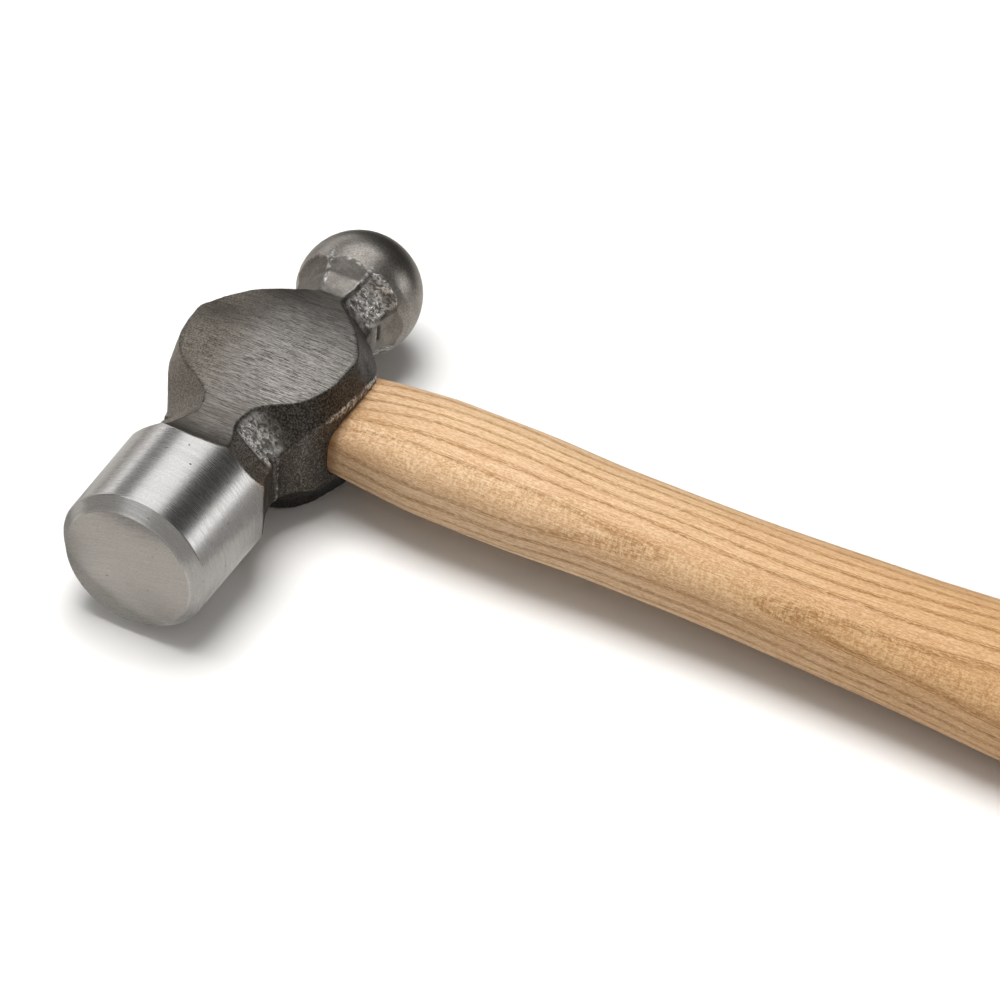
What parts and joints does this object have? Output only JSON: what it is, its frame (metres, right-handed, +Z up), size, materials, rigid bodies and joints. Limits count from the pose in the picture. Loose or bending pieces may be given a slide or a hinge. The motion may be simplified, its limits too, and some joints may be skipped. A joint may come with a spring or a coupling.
{
  "type": "ball peen hammer",
  "caption": "Ball peen hammer on its side: forged steel head with a bevelled round striking face, scooped necks and a ball peen, on a turned wooden handle held by wedges.",
  "frame": {"origin": "on the ground under the middle of the hammer's bounding box, with the hammer lying on its side", "axes": "+X along the handle from head to butt, -Y out of the striking face, +Z up, square to the upper cheek within 0.63 degrees"},
  "size_m": [0.3364, 0.101, 0.031],
  "materials": {
    "head_steel": "forged middle, ground poll and ball",
    "handle_wood": "satin",
    "wedge_wood": "sawn",
    "wedge_steel": "hammered end"
  },
  "bodies": {
    "root": {"head": "head_steel", "handle": "handle_wood", "wood_wedge": "wedge_wood", "steel_wedge_a": "wedge_steel", "steel_wedge_b": "wedge_steel"}
  },
  "joints": []
}
